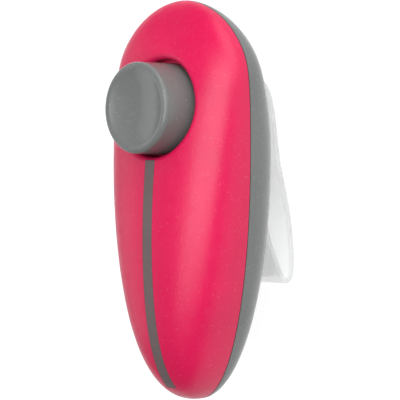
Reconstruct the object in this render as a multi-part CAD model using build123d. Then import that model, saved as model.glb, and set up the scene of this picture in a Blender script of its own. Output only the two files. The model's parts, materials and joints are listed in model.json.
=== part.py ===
from build123d import *
from math import cos, radians, sin
import os

# Clicker trainer: an egg-shaped two-shell case with a raised round button near its head end,
# a grey inlay down the front, a steel click leaf inside and an elastic finger strap behind.
#
# The case is designed about its parting plane, z = 0 here: +Z is the front, where the button
# faces, and +Y runs along the case to the head end. save() lifts every piece by REST_HEIGHT,
# so that the finished part stands on its strap with the lowest point at z = 0. Millimetres.

# case, outside
HALF_LENGTH = 32.5
HALF_WIDTH = 14.45
WIDEST_Y = 19.4
FRONT_HEIGHT = 10.5
FRONT_PEAK_Y = -10.0
BACK_DEPTH = 11.1
BACK_PEAK_Y = 8.7
WALL = 1.8
# exponents of the curves: in plan and in side view (tail, head), and across the case
PLAN_CURVE = (2.08, 1.92)
FRONT_CURVE = (2.6, 1.67)
BACK_CURVE = (1.93, 1.6)
FRONT_SECTION = 2.72
BACK_SECTION = 2.2
# the cross-sections stand at these angles round the length, closer together at the ends
STATIONS = (1.5, 5, 10, 17, 26, 37, 50, 65, 80, 95, 110, 123, 136, 148, 158, 166, 172, 176, 178.5)

# bosses and ribs end inside the wall at this depth; it is also the depth of the stripe's groove
ROOT_INSET = 0.95
# far enough from the middle to be outside the case, for cutting right through
OUTSIDE = 20
# fine step round the front shell's edge, which shows as the parting line
SEAM_STEP = 0.2

# button, about its own axis, which leans towards the head; s runs outwards from the rim
BUTTON_Y = 15.75
BUTTON_RIM_Z = 12.0
BUTTON_LEAN = 4.9
BUTTON_RADIUS = 7.4
BUTTON_RIM = 0.65
DISH_RADIUS = 6.2
DISH_DEPTH = 1.3
CAP_CEILING = 3.2
CAP_BORE = 5.6
FLANGE_RADIUS = 8.9
FLANGE_TOP = -8.9
FLANGE_THICKNESS = 1.2
FLANGE_GAP = 0.05
MOUTH_RADIUS = 7.95
MOUTH_FLOOR = -8.0
MOUTH_LIP = 0.9
GUIDE_RADIUS = 7.48
COLLAR_RADIUS = 9.4
PLUNGER_RADIUS = 2.4
PLUNGER_DISC = 1.6

# inlay stripe down the front
STRIPE_WIDTH = 2.15
STRIPE_TOP_Y = 7.1
STRIPE_END_Y = -30.1
STRIPE_PEG_RADIUS = 0.6
STRIPE_PEG_YS = (3.0, -10.5, -24.0)
STRIPE_GAP = 0.05
PEG_PROUD = 0.6

# click leaf: a clamped root and a tongue that bends about HINGE_Y
LEAF_TOP = -1.0
LEAF_THICKNESS = 0.4
LEAF_WIDTH = 9.0
LEAF_END_Y = 19.0
ROOT_END_Y = -15.5
HINGE_Y = -6.0
HINGE_GAP = 0.05
LEAF_CORNER = 2.5
LEAF_SLOT_WIDTH = 3.0
LEAF_SLOT_YS = (-3.0, 5.0)
CLAMP_THICKNESS = 1.2
CLAMP_HALF = 3.6

# carrier plate that holds the leaf
CARRIER_INSET = 2.3
CARRIER_BOTTOM = -4.8
CARRIER_THICKNESS = 1.4
CARRIER_YS = (-16.5, 21.5)
WINDOW_WIDTH = 10.6
PAD_HALF = 5.0

# screws
SCREW_RADIUS = 0.9
CLEARANCE_RADIUS = 1.05
HEAD_RADIUS = 1.7
HEAD_HEIGHT = 1.0
HEAD_EDGE = 0.4
RECESS_DEPTH = 0.45
RECESS_REACH = 1.0
RECESS_HALF = 0.2
LEAF_SCREWS = ((2.4, -11.0), (-2.4, -11.0))
LEAF_SCREW_TIP = -7.0
CARRIER_SCREWS = ((7.7, 5.0), (-7.7, 5.0))
CARRIER_SCREW_TIP = -7.3
# x, y, height where the two bosses meet, height of the head's seat, height of the tip
CASE_SCREWS = ((0.0, 26.6, -2.2, -3.6, 1.6), (5.3, -19.6, 0.0, -4.4, 4.0), (-5.3, -19.6, 0.0, -4.4, 4.0))
BOSS_RADIUS = 2.3
PILLAR_RADIUS = 2.1
SCREW_END_ROOM = 0.3
HEAD_ROOM = 0.15

# finger strap: a ribbon that leaves one slot in the back, hangs in a slack loop and re-enters
STRAP_WIDTH = 8.0
STRAP_THICKNESS = 1.0
SLOT_WIDTH = 8.4
SLOT_OPENING = 1.3
UPPER_PIN = (19.2, -6.05)
LOWER_PIN = (-2.6, -7.4)
PIN_RADIUS = 0.8
PIN_LENGTH = 12.0
PIN_CHAMFER = 0.2
BEAD_RADIUS = 1.2
# ribs inside the back that hold each pin: their place across the case, and reach round the pin
RIB_SPAN = (4.4, 5.6)
RIB_HALF = 1.9
RIB_OVER_PIN = 0.45
STRAP_ROUTE = (UPPER_PIN, (19.2, -14.0), (3.8, -15.25), (-4.2, -17.45), (-14.4, -18.6), (-14.4, -16.3),
               (-8.0, -13.15), (-2.6, -12.4), LOWER_PIN)
STRAP_BENDS = (3.5, 10.0, 20.0, 1.1, 1.0, 6.0, 1.3)

BUTTON_FRAME = Plane(
    origin=(0, BUTTON_Y, BUTTON_RIM_Z),
    x_dir=(1, 0, 0),
    z_dir=(0, sin(radians(BUTTON_LEAN)), cos(radians(BUTTON_LEAN))),
).location


def rise(y, peak_y, half, powers):
    """1 at peak_y, falling to 0 at both ends, on a superelliptic curve"""
    if y < peak_y:
        t, n = (peak_y - y) / (half + peak_y), powers[0]
    else:
        t, n = (y - peak_y) / (half - peak_y), powers[1]
    return max(0.0, 1 - t**n) ** (1 / n)


def half_egg(side, inset=0.0):
    """solid of the case on one side of the parting plane, everywhere inset by the same amount"""
    half = HALF_LENGTH - inset
    if side > 0:
        height, peak_y, powers, n = FRONT_HEIGHT - inset, FRONT_PEAK_Y, FRONT_CURVE, FRONT_SECTION
    else:
        height, peak_y, powers, n = BACK_DEPTH - inset, BACK_PEAK_Y, BACK_CURVE, BACK_SECTION
    # a Bezier quarter with this handle passes through the superellipse's 45 degree point
    handle = (8 * 2 ** (-1 / n) - 4) / 3
    sections = []
    for angle in STATIONS:
        y = -half * cos(radians(angle))
        w = (HALF_WIDTH - inset) * rise(y, WIDEST_Y, half, PLAN_CURVE)
        h = side * height * rise(y, peak_y, half, powers)
        with BuildSketch(Plane((0, y, 0), x_dir=(1, 0, 0), z_dir=(0, -1, 0))) as section:
            with BuildLine():
                Bezier((w, 0), (w, handle * h), (handle * w, h), (0, h))
                Bezier((0, h), (-handle * w, h), (-w, handle * h), (-w, 0))
                Line((-w, 0), (w, 0))
            make_face()
        sections.append(section.sketch)
    return loft(sections=sections)


def block(x0, x1, y0, y1, z0, z1):
    return Pos((x0 + x1) / 2, (y0 + y1) / 2, (z0 + z1) / 2) * Box(x1 - x0, y1 - y0, z1 - z0)


def post(x, y, z0, z1, radius):
    return Pos(x, y, (z0 + z1) / 2) * Cylinder(radius, z1 - z0)


def button_post(s0, s1, radius):
    """cylinder on the button's axis, from s0 to s1"""
    return BUTTON_FRAME * Pos(0, 0, (s0 + s1) / 2) * Cylinder(radius, s1 - s0)


def button_turned(profile):
    """profile turned about the button's axis; profiles are drawn as (radius, s)"""
    return BUTTON_FRAME * revolve(profile, axis=Axis.Z)


def cross_bar(y, z, radius, length):
    return Pos(0, y, z) * Rot(0, 90, 0) * Cylinder(radius, length)


def screw(x, y, seat, tip):
    """pan-head screw: its head lies on the seat, on the side away from the tip"""
    away = 1 if seat > tip else -1
    shank = post(x, y, min(seat, tip), max(seat, tip), SCREW_RADIUS)
    outer = seat + away * HEAD_HEIGHT
    head = post(x, y, min(seat, outer), max(seat, outer), HEAD_RADIUS)
    rim = head.edges().filter_by(GeomType.CIRCLE).sort_by(Axis.Z)[-1 if away > 0 else 0]
    recess_floor = outer - away * RECESS_DEPTH
    recess = [
        block(x - a, x + a, y - b, y + b, min(outer, recess_floor), max(outer, recess_floor))
        for a, b in ((RECESS_REACH, RECESS_HALF), (RECESS_HALF, RECESS_REACH))
    ]
    return fillet(rim, HEAD_EDGE) + shank - recess


front_solid = half_egg(1)
front_core = half_egg(1, ROOT_INSET)
front_inside = half_egg(1, WALL)
back_solid = half_egg(-1)
back_core = half_egg(-1, ROOT_INSET)
back_inside = half_egg(-1, WALL)


def front_shell():
    shell = front_solid - front_inside
    collar = button_post(FLANGE_TOP + FLANGE_GAP, 0, COLLAR_RADIUS)
    bosses = [post(x, y, max(split, 0), FRONT_HEIGHT, BOSS_RADIUS) for x, y, split, _, _ in CASE_SCREWS]
    shell += front_core & (collar + bosses)
    x, y, split, _, _ = CASE_SCREWS[0]
    shell += post(x, y, split, 0.5, BOSS_RADIUS)
    shell -= button_post(-OUTSIDE, OUTSIDE, GUIDE_RADIUS)
    shell -= button_post(MOUTH_FLOOR, OUTSIDE, MOUTH_RADIUS)
    mouth_edges = shell.edges().filter_by(GeomType.BSPLINE)
    shell = fillet(mouth_edges.sort_by_distance((0, BUTTON_Y, BUTTON_RIM_Z))[0], MOUTH_LIP)
    edge_band = block(-OUTSIDE, OUTSIDE, -2 * OUTSIDE, 2 * OUTSIDE, -0.1, SEAM_STEP)
    shell -= (front_solid - half_egg(1, SEAM_STEP)) & edge_band
    shell -= [post(x, y, split, tip + SCREW_END_ROOM, SCREW_RADIUS) for x, y, split, _, tip in CASE_SCREWS]
    shell -= stripe_block(STRIPE_GAP) - front_core
    shell -= stripe_pegs()
    return shell


def stripe_block(gap):
    half = STRIPE_WIDTH / 2 + gap
    return block(-half, half, STRIPE_END_Y - gap, STRIPE_TOP_Y + gap, 0, FRONT_HEIGHT + 1)


def stripe_pegs():
    pegs = []
    for y in STRIPE_PEG_YS:
        top = FRONT_HEIGHT * rise(y, FRONT_PEAK_Y, HALF_LENGTH, FRONT_CURVE)
        pegs.append(post(0, y, top - WALL - PEG_PROUD, top - ROOT_INSET + 0.2, STRIPE_PEG_RADIUS))
    return pegs


def stripe_inlay():
    return ((front_solid & stripe_block(0)) - front_core) + stripe_pegs()


def pin_ribs(pin):
    y, z = pin
    near, far = RIB_SPAN
    return [
        block(x0, x1, y - RIB_HALF, y + RIB_HALF, -BACK_DEPTH, z + RIB_OVER_PIN)
        for x0, x1 in ((near, far), (-far, -near))
    ]


def back_shell():
    shell = back_solid - back_inside
    carrier_holes = LEAF_SCREWS + CARRIER_SCREWS
    posts = [post(x, y, -BACK_DEPTH, CARRIER_BOTTOM, PILLAR_RADIUS) for x, y in carrier_holes]
    posts += [post(x, y, -BACK_DEPTH, split, BOSS_RADIUS) for x, y, split, _, _ in CASE_SCREWS]
    fittings = Part() + posts + pin_ribs(UPPER_PIN) + pin_ribs(LOWER_PIN)
    shell += back_core & fittings
    shell -= [post(x, y, LEAF_SCREW_TIP, 0, SCREW_RADIUS) for x, y in LEAF_SCREWS]
    shell -= [post(x, y, CARRIER_SCREW_TIP, 0, SCREW_RADIUS) for x, y in CARRIER_SCREWS]
    shell -= [post(x, y, seat - 0.5, split, CLEARANCE_RADIUS) for x, y, split, seat, _ in CASE_SCREWS]
    shell -= [post(x, y, -OUTSIDE, seat, HEAD_RADIUS + HEAD_ROOM) for x, y, _, seat, _ in CASE_SCREWS]
    for y, z in (UPPER_PIN, LOWER_PIN):
        shell -= cross_bar(y, z, PIN_RADIUS, PIN_LENGTH)
        half = SLOT_OPENING / 2
        shell -= block(-SLOT_WIDTH / 2, SLOT_WIDTH / 2, y - half, y + half, -OUTSIDE, z)
    return shell


def button_cap():
    rim = BUTTON_RIM
    crest = BUTTON_RADIUS - rim
    edge = -0.1
    with BuildSketch(Plane.XZ) as profile:
        with BuildLine():
            ThreePointArc((0, -DISH_DEPTH), (DISH_RADIUS * 0.52, -DISH_DEPTH * 0.76), (DISH_RADIUS, edge))
            ThreePointArc((DISH_RADIUS, edge), ((DISH_RADIUS + crest) / 2, edge * 0.25), (crest, 0))
            CenterArc((crest, -rim), rim, 0, 90)
            Polyline(
                (BUTTON_RADIUS, -rim),
                (BUTTON_RADIUS, FLANGE_TOP),
                (FLANGE_RADIUS, FLANGE_TOP),
                (FLANGE_RADIUS, FLANGE_TOP - FLANGE_THICKNESS),
                (CAP_BORE, FLANGE_TOP - FLANGE_THICKNESS),
                (CAP_BORE, -CAP_CEILING),
                (0, -CAP_CEILING),
                (0, -DISH_DEPTH),
            )
        make_face()
    return button_turned(profile.sketch)


def button_plunger():
    """disc inside the cap with a round-nosed post that rests on the leaf"""
    nose = (LEAF_TOP + 0.05 - BUTTON_RIM_Z) / cos(radians(BUTTON_LEAN))
    shoulder = nose + PLUNGER_RADIUS
    with BuildSketch(Plane.XZ) as profile:
        with BuildLine():
            Polyline(
                (0, -CAP_CEILING),
                (CAP_BORE, -CAP_CEILING),
                (CAP_BORE, -CAP_CEILING - PLUNGER_DISC),
                (PLUNGER_RADIUS, -CAP_CEILING - PLUNGER_DISC),
                (PLUNGER_RADIUS, shoulder),
            )
            RadiusArc((PLUNGER_RADIUS, shoulder), (0, nose), PLUNGER_RADIUS)
            Line((0, nose), (0, -CAP_CEILING))
        make_face()
    return button_turned(profile.sketch)


def leaf_strip(y0, y1):
    half = LEAF_WIDTH / 2
    return block(-half, half, y0, y1, LEAF_TOP - LEAF_THICKNESS, LEAF_TOP)


def leaf_root():
    strip = leaf_strip(ROOT_END_Y, HINGE_Y - HINGE_GAP)
    return strip - [post(x, y, -3, 0, CLEARANCE_RADIUS) for x, y in LEAF_SCREWS]


def leaf_tongue():
    """the free part of the leaf, with round corners and a slot that softens its bend"""
    strip = leaf_strip(HINGE_Y + HINGE_GAP, LEAF_END_Y)
    corners = strip.edges().filter_by(Axis.Z).group_by(Axis.Y)[-1]
    strip = fillet(corners, LEAF_CORNER)
    half = LEAF_SLOT_WIDTH / 2
    slot = block(-half, half, *LEAF_SLOT_YS, -3, 0)
    return strip - fillet(slot.edges().filter_by(Axis.Z), half - 0.1)


def leaf_clamp():
    y = LEAF_SCREWS[0][1]
    half = LEAF_WIDTH / 2
    plate = block(-half, half, y - CLAMP_HALF, y + CLAMP_HALF, LEAF_TOP, LEAF_TOP + CLAMP_THICKNESS)
    plate = fillet(plate.edges().filter_by(Axis.Z), 1.0)
    return plate - [post(x, y, -2, 2, CLEARANCE_RADIUS) for x, y in LEAF_SCREWS]


def leaf_carrier():
    top = CARRIER_BOTTOM + CARRIER_THICKNESS
    plate = half_egg(-1, CARRIER_INSET) & block(-OUTSIDE, OUTSIDE, *CARRIER_YS, CARRIER_BOTTOM, top)
    window = block(-WINDOW_WIDTH / 2, WINDOW_WIDTH / 2, HINGE_Y, LEAF_END_Y + 1, -10, 0)
    pad = block(-PAD_HALF, PAD_HALF, ROOT_END_Y, HINGE_Y - 0.5, CARRIER_BOTTOM, LEAF_TOP - LEAF_THICKNESS)
    plate = plate - fillet(window.edges().filter_by(Axis.Z), 2.0) + pad
    return plate - [post(x, y, -OUTSIDE, 0, CLEARANCE_RADIUS) for x, y in LEAF_SCREWS + CARRIER_SCREWS]


def leaf_screws():
    return [screw(x, y, LEAF_TOP + CLAMP_THICKNESS, LEAF_SCREW_TIP) for x, y in LEAF_SCREWS]


def carrier_screws():
    return [screw(x, y, CARRIER_BOTTOM + CARRIER_THICKNESS, CARRIER_SCREW_TIP) for x, y in CARRIER_SCREWS]


def case_screws():
    return [screw(x, y, seat, tip) for x, y, _, seat, tip in CASE_SCREWS]


def finger_strap():
    with BuildSketch(Plane.YZ) as ribbon:
        with BuildLine():
            route = FilletPolyline(*STRAP_ROUTE, radius=STRAP_BENDS)
        trace(route, STRAP_THICKNESS)
        with Locations(UPPER_PIN, LOWER_PIN):
            Circle(BEAD_RADIUS)
        with Locations(UPPER_PIN, LOWER_PIN):
            Circle(PIN_RADIUS, mode=Mode.SUBTRACT)
    return extrude(ribbon.sketch, STRAP_WIDTH / 2, both=True)


def strap_pin(pin):
    bar = cross_bar(*pin, PIN_RADIUS, PIN_LENGTH)
    return chamfer(bar.edges().filter_by(GeomType.CIRCLE), PIN_CHAMFER)


def save(name, shape):
    """lift to the resting height and write one STEP"""
    pieces = shape if isinstance(shape, (list, tuple)) else [shape]
    solids = [s.moved(Pos(0, 0, REST_HEIGHT)) for piece in pieces for s in piece.solids()]
    result = solids[0] if len(solids) == 1 else Compound(children=solids)
    export_step(result, f"parts/{name}.step")
    print(name, len(solids), round(sum(s.volume for s in solids), 1), all(s.is_valid for s in solids))


strap = finger_strap()
REST_HEIGHT = -strap.bounding_box().min.Z
print("rest height", REST_HEIGHT)

os.makedirs("parts", exist_ok=True)
save("front_shell", front_shell())
save("stripe_inlay", stripe_inlay())
save("back_shell", back_shell())
save("button_cap", button_cap())
save("button_plunger", button_plunger())
save("leaf_root", leaf_root())
save("leaf_tongue", leaf_tongue())
save("leaf_clamp", leaf_clamp())
save("leaf_carrier", leaf_carrier())
save("leaf_screws", leaf_screws())
save("carrier_screws", carrier_screws())
save("case_screws", case_screws())
save("finger_strap", strap)
save("strap_pin_upper", strap_pin(UPPER_PIN))
save("strap_pin_lower", strap_pin(LOWER_PIN))
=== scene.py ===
import json
import math

import bmesh
import bpy
import numpy as np
from mathutils import Matrix, Vector


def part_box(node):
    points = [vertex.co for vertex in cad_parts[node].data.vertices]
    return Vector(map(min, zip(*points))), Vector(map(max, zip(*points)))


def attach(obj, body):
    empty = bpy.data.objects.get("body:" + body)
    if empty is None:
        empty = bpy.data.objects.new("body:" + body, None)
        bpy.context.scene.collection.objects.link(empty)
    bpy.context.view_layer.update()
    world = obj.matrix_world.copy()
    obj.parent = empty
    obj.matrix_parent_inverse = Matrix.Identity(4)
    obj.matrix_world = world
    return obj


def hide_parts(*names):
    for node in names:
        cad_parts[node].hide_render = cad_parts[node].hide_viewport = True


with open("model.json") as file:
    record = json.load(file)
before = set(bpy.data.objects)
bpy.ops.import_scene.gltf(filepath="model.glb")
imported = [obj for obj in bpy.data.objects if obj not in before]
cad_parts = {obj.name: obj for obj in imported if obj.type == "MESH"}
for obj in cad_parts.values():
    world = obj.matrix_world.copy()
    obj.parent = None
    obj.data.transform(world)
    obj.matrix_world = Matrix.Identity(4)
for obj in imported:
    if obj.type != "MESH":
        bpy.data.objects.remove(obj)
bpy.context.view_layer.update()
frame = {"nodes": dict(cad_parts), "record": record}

MM = 0.001
# height of the parting plane between the two shells
SEAM_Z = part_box("back_shell")[1].z
STRAP_LOW, STRAP_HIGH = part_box("finger_strap")

# colours, linear
CRIMSON = (0.50, 0.0020, 0.058)
MID_GREY = (0.120, 0.126, 0.124)
DARK_GREY = (0.108, 0.080, 0.083)
NEAR_BLACK = (0.030, 0.030, 0.032)
SPRING_STEEL = (0.62, 0.61, 0.58)
ZINC = (0.55, 0.56, 0.57)
MILKY = ((0.93, 0.94, 0.94), (0.97, 0.98, 0.98))
# painted shade: the grey the ribbon takes at its long edges, standing in for the shading of its
# edge thickness
PAINTED_EDGE_SHADE = (0.52, 0.54, 0.53)


# ---------------------------------------------------------------- camera

def make_camera():
    """looks from the case's front right, square to its length, slightly rolled"""
    turn, tip, roll = math.radians(47.0), math.radians(4.0), math.radians(-2.1)
    distance, view_width, sensor = 0.6, 0.06516, 36.0
    away = Vector((math.sin(turn) * math.cos(tip), math.sin(tip), math.cos(turn) * math.cos(tip)))
    right = Vector((math.cos(turn), 0.0, -math.sin(turn)))
    up = away.cross(right)
    across = right * math.cos(roll) + up * math.sin(roll)
    upright = away.cross(across)
    data = bpy.data.cameras.new("camera")
    camera = bpy.data.objects.new("camera", data)
    bpy.context.scene.collection.objects.link(camera)
    data.sensor_width = sensor
    data.lens = sensor * distance / view_width
    data.shift_x = 0.0187
    data.clip_start = 0.01
    turned = Matrix((across, upright, away)).transposed().to_4x4()
    camera.matrix_world = Matrix.Translation(away * distance + Vector((0, 0, SEAM_Z))) @ turned
    bpy.context.scene.camera = camera


# ---------------------------------------------------------------- materials

def new_material(name):
    material = bpy.data.materials.new(name)
    material.use_nodes = True
    tree = material.node_tree
    return material, tree, tree.nodes["Principled BSDF"]


def add(tree, kind, **values):
    """new node; each value sets the input of that name, or else the node's own setting"""
    node = tree.nodes.new(kind)
    for key, value in values.items():
        if key in node.inputs:
            node.inputs[key].default_value = value
        else:
            setattr(node, key, value)
    return node


def object_coordinates(tree):
    return add(tree, "ShaderNodeTexCoord").outputs["Object"]


def noise(tree, scale, detail=2.0, roughness=0.5):
    """noise in object coordinates; scale is in cycles per metre"""
    texture = add(tree, "ShaderNodeTexNoise", Scale=scale, Detail=detail, Roughness=roughness)
    tree.links.new(object_coordinates(tree), texture.inputs["Vector"])
    return texture.outputs["Fac"]


def ramp(tree, source, low, high):
    """colour ramp between two stops, each given as (position, colour)"""
    node = add(tree, "ShaderNodeValToRGB")
    for element, (position, colour) in zip(node.color_ramp.elements, (low, high)):
        element.position = position
        element.color = (*colour, 1.0)
    tree.links.new(source, node.inputs["Fac"])
    return node.outputs["Color"]


def bump(tree, shader, source, strength, distance):
    node = add(tree, "ShaderNodeBump", Strength=strength, Distance=distance)
    tree.links.new(source, node.inputs["Height"])
    tree.links.new(node.outputs["Normal"], shader.inputs["Normal"])


def grey(value):
    return (value, value, value)


def scale_colour(colour, factor):
    return tuple(min(1.0, c * factor) for c in colour)


def moulded_plastic(name, colour, roughness, specular, grain, specks):
    """satin moulded plastic: cloudy colour, scattered pale specks, fine spark-eroded grain"""
    material, tree, shader = new_material(name)
    cloud = ramp(tree, noise(tree, 90.0, 3.0),
                 (0.3, scale_colour(colour, 0.94)), (0.7, scale_colour(colour, 1.06)))
    dots = ramp(tree, noise(tree, 3000.0, 1.0), (0.66, grey(0.0)), (0.74, grey(specks)))
    mix = add(tree, "ShaderNodeMixRGB", blend_type="ADD", Fac=1.0)
    tree.links.new(cloud, mix.inputs["Color1"])
    tree.links.new(dots, mix.inputs["Color2"])
    tree.links.new(mix.outputs["Color"], shader.inputs["Base Color"])
    gloss = ramp(tree, noise(tree, 700.0, 4.0),
                 (0.25, grey(roughness - 0.05)), (0.75, grey(roughness + 0.07)))
    tree.links.new(gloss, shader.inputs["Roughness"])
    shader.inputs["Specular IOR Level"].default_value = specular
    bump(tree, shader, noise(tree, 4200.0, 2.0, 0.6), grain, 0.05 * MM)
    return material


def metal(name, colour, roughness, streaks):
    """rolled or plated steel, brushed along the case; streaks are in cycles per metre across it"""
    material, tree, shader = new_material(name)
    shader.inputs["Metallic"].default_value = 1.0
    stretch = add(tree, "ShaderNodeMapping", Scale=(streaks, 120.0, streaks))
    texture = add(tree, "ShaderNodeTexNoise", Scale=1.0, Detail=3.0)
    tree.links.new(object_coordinates(tree), stretch.inputs["Vector"])
    tree.links.new(stretch.outputs["Vector"], texture.inputs["Vector"])
    shade = ramp(tree, texture.outputs["Fac"],
                 (0.3, scale_colour(colour, 0.85)), (0.7, scale_colour(colour, 1.1)))
    tree.links.new(shade, shader.inputs["Base Color"])
    gloss = ramp(tree, texture.outputs["Fac"],
                 (0.3, grey(roughness)), (0.7, grey(roughness + 0.15)))
    tree.links.new(gloss, shader.inputs["Roughness"])
    return material


def elastomer(name, half_width, edge_shade_band):
    """milky, see-through elastomer ribbon, cloudy inside, with painted shade that greys it towards
    its two long edges
    """
    material, tree, shader = new_material(name)
    cloud = ramp(tree, noise(tree, 260.0, 3.0), (0.3, MILKY[0]), (0.7, MILKY[1]))
    # painted shade: mask that greys the ribbon's colour over a band before each long edge
    parts = add(tree, "ShaderNodeSeparateXYZ")
    tree.links.new(object_coordinates(tree), parts.inputs["Vector"])
    from_middle = add(tree, "ShaderNodeMath", operation="ABSOLUTE")
    tree.links.new(parts.outputs["X"], from_middle.inputs[0])
    edge_shade_mask = add(tree, "ShaderNodeMapRange")
    edge_shade_mask.inputs["From Min"].default_value = half_width - edge_shade_band
    edge_shade_mask.inputs["From Max"].default_value = half_width
    tree.links.new(from_middle.outputs[0], edge_shade_mask.inputs["Value"])
    mix = add(tree, "ShaderNodeMixRGB", Color2=(*PAINTED_EDGE_SHADE, 1.0))
    tree.links.new(edge_shade_mask.outputs["Result"], mix.inputs["Fac"])
    tree.links.new(cloud, mix.inputs["Color1"])
    tree.links.new(mix.outputs["Color"], shader.inputs["Base Color"])
    gloss = ramp(tree, noise(tree, 500.0), (0.3, grey(0.42)), (0.7, grey(0.50)))
    tree.links.new(gloss, shader.inputs["Roughness"])
    shader.inputs["IOR"].default_value = 1.40
    shader.inputs["Alpha"].default_value = 0.42
    shader.inputs["Subsurface Weight"].default_value = 0.5
    shader.inputs["Subsurface Radius"].default_value = (1.0, 1.0, 1.0)
    shader.inputs["Subsurface Scale"].default_value = 1.0 * MM
    bump(tree, shader, noise(tree, 1500.0, 1.0), 0.15, 0.02 * MM)
    return material


def make_materials():
    """one material for each material slot of the record"""
    plastics = {
        # colour, roughness, specular, grain, specks
        "crimson_plastic": (CRIMSON, 0.35, 0.40, 0.50, 0.03),
        "grey_plastic": (MID_GREY, 0.22, 0.38, 0.12, 0.05),
        "grey_inlay": (DARK_GREY, 0.42, 0.22, 0.20, 0.03),
        "inner_plastic": (NEAR_BLACK, 0.50, 0.36, 0.30, 0.01),
    }
    made = {name: moulded_plastic(name, *values) for name, values in plastics.items()}
    made["spring_steel"] = metal("spring_steel", SPRING_STEEL, 0.22, 3000.0)
    made["screw_steel"] = metal("screw_steel", ZINC, 0.3, 1500.0)
    # the ribbon's half width, and the width of its painted edge shade
    made["clear_elastomer"] = elastomer("clear_elastomer", STRAP_HIGH.x, 0.5 * MM)
    return made


def dress_cad_nodes(materials):
    slots = {s["node"]: s["material_slot"] for s in frame["record"]["subparts"]}
    for name, obj in frame["nodes"].items():
        for slot in obj.material_slots:
            slot.material = materials[slots[name]]


# ---------------------------------------------------------------- finger strap

STRAP_THICKNESS = 1.0 * MM
STRAP_CORNER = 0.32 * MM
# the ribbon's centre line in millimetres, as (along the case, height over the parting plane):
# out of the upper slot, down the back in a slack loop, and back up into the lower slot
STRAP_ROUTE = (
    (19.2, -6.3), (19.2, -9.8), (19.0, -11.9), (17.8, -13.7), (15.6, -14.75), (11.6, -15.45),
    (7.5, -15.85), (4.7, -16.2), (2.9, -16.6), (0.1, -17.25), (-4.1, -18.0), (-8.4, -18.4),
    (-11.9, -18.4), (-13.9, -17.95), (-14.5, -17.0), (-13.8, -15.95), (-11.5, -14.85),
    (-8.0, -13.4), (-5.4, -12.8), (-3.5, -12.3), (-2.7, -11.3), (-2.6, -9.6), (-2.6, -7.9),
)


def smooth_curve(points, steps):
    """Catmull-Rom curve through the points, with so many steps from each to the next"""
    inner = np.array(points, float)
    p = np.vstack([2 * inner[0] - inner[1], inner, 2 * inner[-1] - inner[-2]])
    out = []
    for a, b, c, d in zip(p, p[1:], p[2:], p[3:]):
        for t in np.arange(steps) / steps:
            out.append(0.5 * (2 * b + (c - a) * t + (2 * a - 5 * b + 4 * c - d) * t**2
                              + (3 * b - a - 3 * c + d) * t**3))
    out.append(inner[-1])
    return np.array(out)


def rounded_section(width, thickness, radius, corner_steps):
    """closed outline of a flat strip with round edges: (across, through) pairs"""
    outline = []
    for sx, sz, start in ((1, 1, 0), (-1, 1, 90), (-1, -1, 180), (1, -1, 270)):
        cx, cz = sx * (width / 2 - radius), sz * (thickness / 2 - radius)
        for k in range(corner_steps + 1):
            a = math.radians(start + 90 * k / corner_steps)
            outline.append((cx + radius * math.cos(a), cz + radius * math.sin(a)))
    return outline


def mesh_object(name, vertices, faces, material, body):
    mesh = bpy.data.meshes.new(name)
    mesh.from_pydata([tuple(v) for v in vertices], [], faces)
    mesh.validate()
    mesh.update()
    mesh.materials.append(material)
    for polygon in mesh.polygons:
        polygon.use_smooth = True
    obj = bpy.data.objects.new(name, mesh)
    bpy.context.scene.collection.objects.link(obj)
    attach(obj, body)
    return obj


def make_strap(material):
    """sweeps the ribbon's section along its route, in place of the plain strap solid"""
    line = smooth_curve([(y * MM, SEAM_Z + z * MM) for y, z in STRAP_ROUTE], 12)
    section = rounded_section(STRAP_HIGH.x - STRAP_LOW.x, STRAP_THICKNESS, STRAP_CORNER, 5)
    tangent = np.gradient(line, axis=0)
    tangent /= np.linalg.norm(tangent, axis=1)[:, None]
    normal = np.stack([-tangent[:, 1], tangent[:, 0]], 1)
    vertices, faces = [], []
    for point, out in zip(line, normal):
        for across, through in section:
            vertices.append((across, *(point + out * through)))
    count, last = len(section), len(line) - 1
    for i in range(last):
        near, far = i * count, (i + 1) * count
        for j in range(count):
            k = (j + 1) % count
            faces.append((near + j, near + k, far + k, far + j))
    faces.append(tuple(range(count))[::-1])
    faces.append(tuple(last * count + j for j in range(count)))
    strap = mesh_object("finger_strap_ribbon", vertices, faces, material, "case")
    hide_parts("finger_strap")


# ---------------------------------------------------------------- studio

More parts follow.
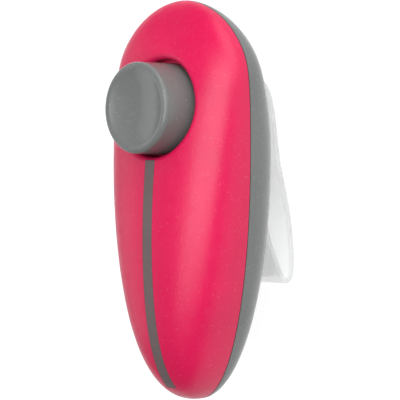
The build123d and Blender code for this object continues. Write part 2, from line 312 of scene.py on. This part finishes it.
def make_floor():
    """white acrylic table, lit from below, so that it stays pale in the case's shade"""
    mesh = bpy.data.meshes.new("floor")
    grid = bmesh.new()
    bmesh.ops.create_grid(grid, x_segments=24, y_segments=24, size=1.5)
    grid.to_mesh(mesh)
    grid.free()
    material, tree, shader = new_material("floor_white")
    shade = ramp(tree, noise(tree, 6.0), (0.3, grey(0.19)), (0.7, grey(0.20)))
    tree.links.new(shade, shader.inputs["Base Color"])
    shader.inputs["Roughness"].default_value = 0.8
    shader.inputs["Emission Color"].default_value = (1, 1, 1, 1)
    shader.inputs["Emission Strength"].default_value = 0.88
    mesh.materials.append(material)
    floor = bpy.data.objects.new("floor", mesh)
    bpy.context.scene.collection.objects.link(floor)


def softbox(name, direction, size, radiance):
    """rectangular light that faces the case; size is across the case and along it"""
    distance = 0.6
    data = bpy.data.lights.new(name, "AREA")
    data.shape = "RECTANGLE"
    data.size, data.size_y = size
    data.energy = radiance * math.pi * size[0] * size[1]
    light = bpy.data.objects.new(name, data)
    bpy.context.scene.collection.objects.link(light)
    towards = Vector(direction).normalized()
    across = Vector((0, 1, 0)).cross(towards).normalized()
    along = towards.cross(across)
    turned = Matrix((across, along, towards)).transposed().to_4x4()
    light.matrix_world = Matrix.Translation(towards * distance + Vector((0, 0, SEAM_Z))) @ turned


def make_lights():
    world = bpy.data.worlds.new("studio")
    bpy.context.scene.world = world
    world.use_nodes = True
    background = world.node_tree.nodes["Background"]
    background.inputs["Color"].default_value = (1, 1, 1, 1)
    background.inputs["Strength"].default_value = 0.25
    softbox("key", (0.42, 0.16, 0.89), (0.78, 0.56), 4.0)
    softbox("side", (0.86, 0.42, 0.22), (0.30, 0.34), 2.4)
    softbox("head", (0.40, 0.88, 0.22), (0.50, 0.50), 2.6)
    softbox("left", (-0.85, 0.0, 0.40), (0.30, 0.50), 1.2)
    bpy.context.scene.view_settings.view_transform = "Standard"


make_camera()
materials = make_materials()
dress_cad_nodes(materials)
make_strap(materials["clear_elastomer"])
make_floor()
make_lights()
